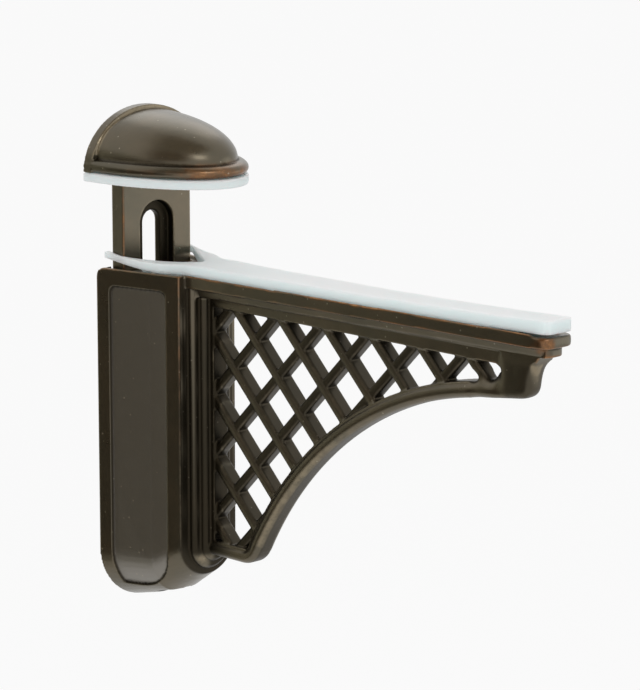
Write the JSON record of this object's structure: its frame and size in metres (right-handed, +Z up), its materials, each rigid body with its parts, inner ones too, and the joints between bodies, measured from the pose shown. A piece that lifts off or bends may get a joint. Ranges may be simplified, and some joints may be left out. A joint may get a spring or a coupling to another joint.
{
  "type": "adjustable shelf bracket",
  "caption": "Wall clamp bracket for a shelf: a domed upper jaw on a slotted stem, and a lattice arm that slides on it and is drawn up by a clamp screw.",
  "frame": {"origin": "on the wall face of the upper jaw, on the middle plane, at the groove between crown and lip", "axes": "+X out from the wall along the arm, +Y across the bracket, +Z up"},
  "size_m": [0.13, 0.0344, 0.1157],
  "materials": {
    "bronze_casting": "oil-rubbed dark bronze, copper showing on worn edges",
    "silicone_pad": "milky translucent silicone",
    "plated_steel": "dull zinc plating"
  },
  "bodies": {
    "wall_jaw": {"upper_jaw": "bronze_casting", "upper_pad": "silicone_pad"},
    "arm": {"lattice_arm": "bronze_casting", "lower_pad": "silicone_pad", "clamp_washer": "plated_steel"},
    "screw": {"clamp_screw": "plated_steel"}
  },
  "joints": [
    {"name": "arm_slide", "type": "slide", "parent": "wall_jaw", "child": "arm", "axis": [0, 0, 1], "range_m": [-0.0201, 0.0139]},
    {"name": "screw_turn", "type": "hinge", "parent": "arm", "child": "screw", "pos_m": [0.012, 0, -0.0839], "axis": [0, 0, 1], "continuous": true}
  ],
  "couplings": [
    {"joint": "screw_turn", "follows": "arm_slide", "rad_per_m": 6283.2}
  ]
}
